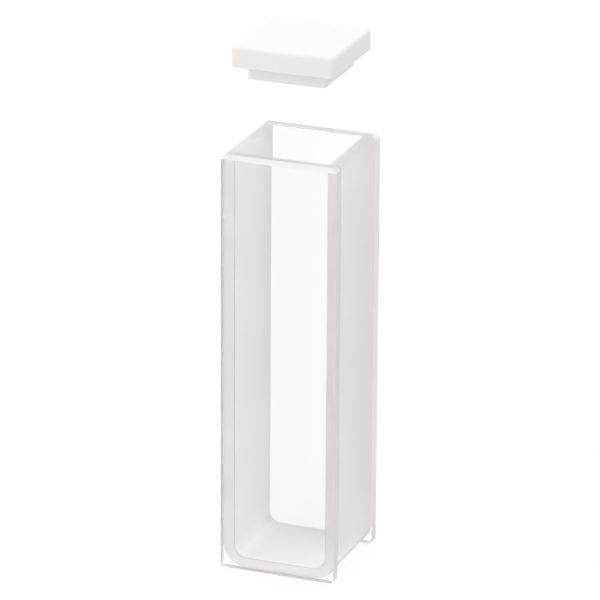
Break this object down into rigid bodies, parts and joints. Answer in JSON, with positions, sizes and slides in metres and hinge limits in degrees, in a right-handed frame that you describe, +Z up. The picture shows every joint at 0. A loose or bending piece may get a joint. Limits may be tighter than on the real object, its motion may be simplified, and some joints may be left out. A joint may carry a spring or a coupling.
{
  "type": "square cuvette with lid",
  "caption": "Square glass absorption cell, open at the top, with clear windows front and back, ground side walls and floor, and a loose square lid with a plug.",
  "frame": {"origin": "centre of the cell's base, on the surface it stands on", "axes": "+Z up through the mouth; light passes along Y, in at the front window on -Y; the ground side walls face -X and +X"},
  "size_m": [0.0126, 0.0126, 0.0563],
  "materials": {
    "ground_glass": "ground, frosted",
    "clear_glass": "polished",
    "lid_ptfe": "machined, satin"
  },
  "bodies": {
    "cell": {"u_frame": "ground_glass", "front_window": "clear_glass", "rear_window": "clear_glass"},
    "lid": {"lid": "lid_ptfe"}
  },
  "joints": [
    {"name": "lid_lift", "type": "slide", "parent": "cell", "child": "lid", "axis": [0, 0, 1], "range_m": [-0.0091, 0]}
  ]
}
